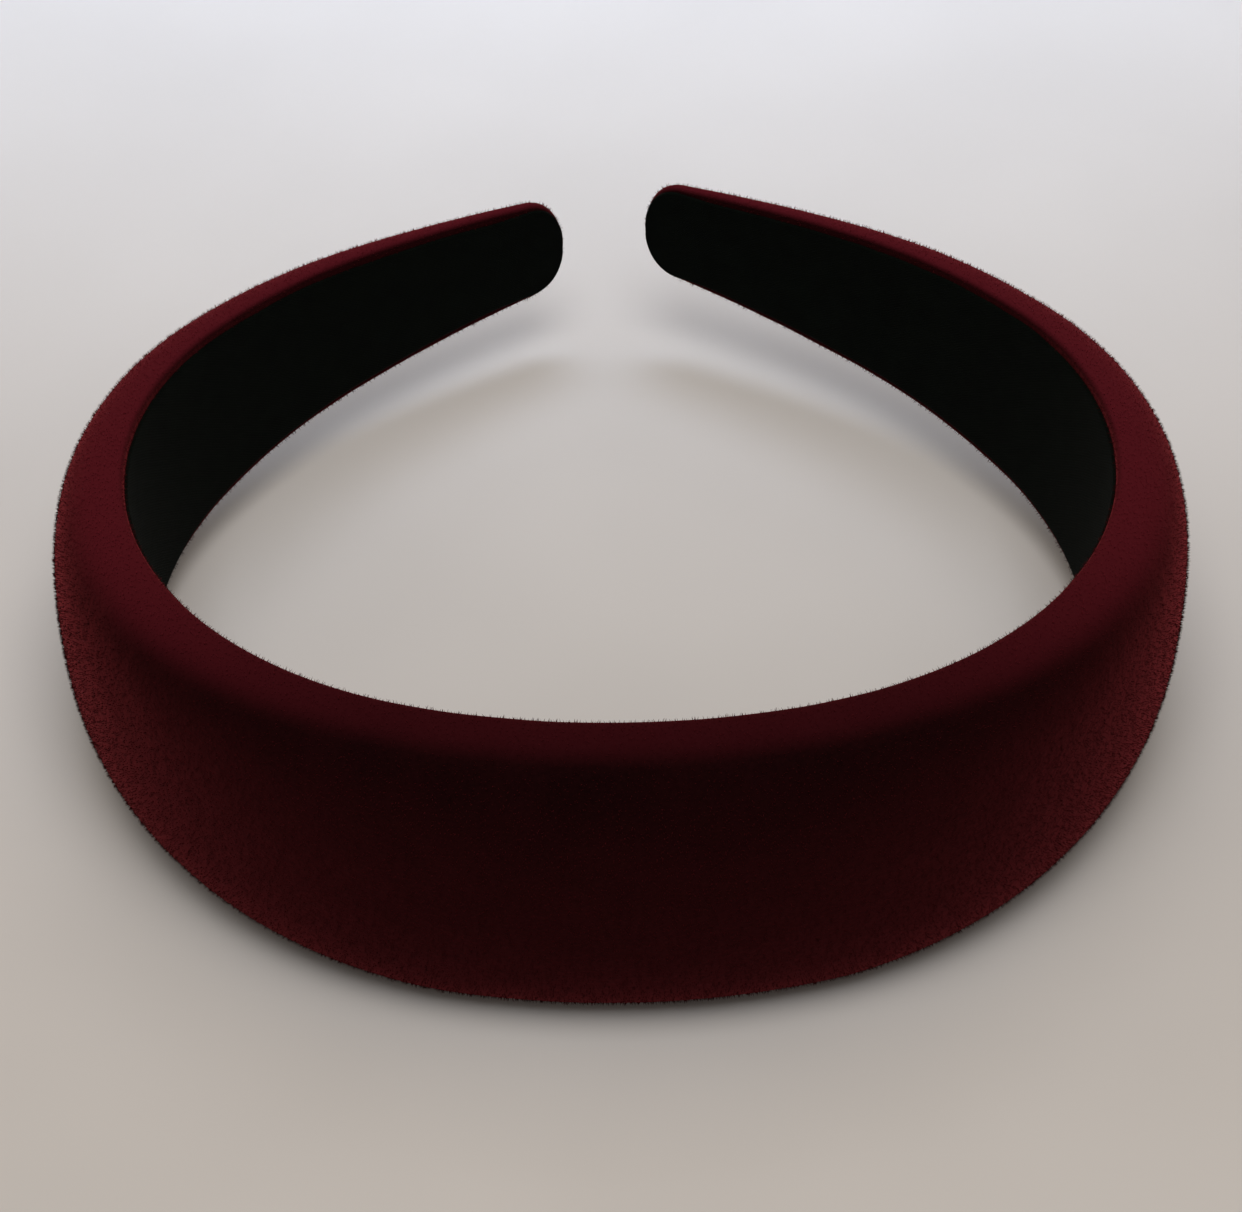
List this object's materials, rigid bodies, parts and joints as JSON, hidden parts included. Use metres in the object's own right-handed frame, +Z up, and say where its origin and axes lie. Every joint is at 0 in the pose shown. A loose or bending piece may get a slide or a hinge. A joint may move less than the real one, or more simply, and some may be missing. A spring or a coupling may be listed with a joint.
{
  "type": "headband",
  "caption": "Padded velvet headband: an open C-shaped strip with a domed pad, a springy core and a black lining, tapering to rounded tips.",
  "frame": {"origin": "middle of the band's footprint, on the surface that it stands on", "axes": "+X across the head towards the right arm seen from the crown, +Y from the crown to the tips, +Z up across the strip's width"},
  "size_m": [0.1488, 0.1414, 0.045],
  "materials": {
    "velvet": "dark burgundy short-pile velvet",
    "lining_cloth": "black woven lining, dull",
    "core_plastic": "moulded, fine matt",
    "pad_foam": "open-cell polyurethane foam, off-white",
    "bonding_tape": "double-sided bonding tape, cloudy"
  },
  "bodies": {
    "crown": {"crown_velvet_cover": "velvet", "crown_foam_pad": "pad_foam", "crown_pad_film": "bonding_tape", "crown_core": "core_plastic", "crown_lining_tape": "bonding_tape", "crown_lining": "lining_cloth"},
    "left_arm": {"left_arm_velvet_cover": "velvet", "left_arm_foam_pad": "pad_foam", "left_arm_pad_film": "bonding_tape", "left_arm_core": "core_plastic", "left_arm_lining_tape": "bonding_tape", "left_arm_lining": "lining_cloth"},
    "right_arm": {"right_arm_velvet_cover": "velvet", "right_arm_foam_pad": "pad_foam", "right_arm_pad_film": "bonding_tape", "right_arm_core": "core_plastic", "right_arm_lining_tape": "bonding_tape", "right_arm_lining": "lining_cloth"}
  },
  "joints": [
    {"name": "left_arm_flex", "type": "hinge", "parent": "crown", "child": "left_arm", "pos_m": [-0.05564, -0.0505, 0.02245], "axis": [0, 0, 1], "range_deg": [0, 20], "stiffness_Nm_per_rad": 0.6},
    {"name": "right_arm_flex", "type": "hinge", "parent": "crown", "child": "right_arm", "pos_m": [0.05564, -0.0505, 0.02245], "axis": [0, 0, -1], "range_deg": [0, 20], "stiffness_Nm_per_rad": 0.6}
  ]
}
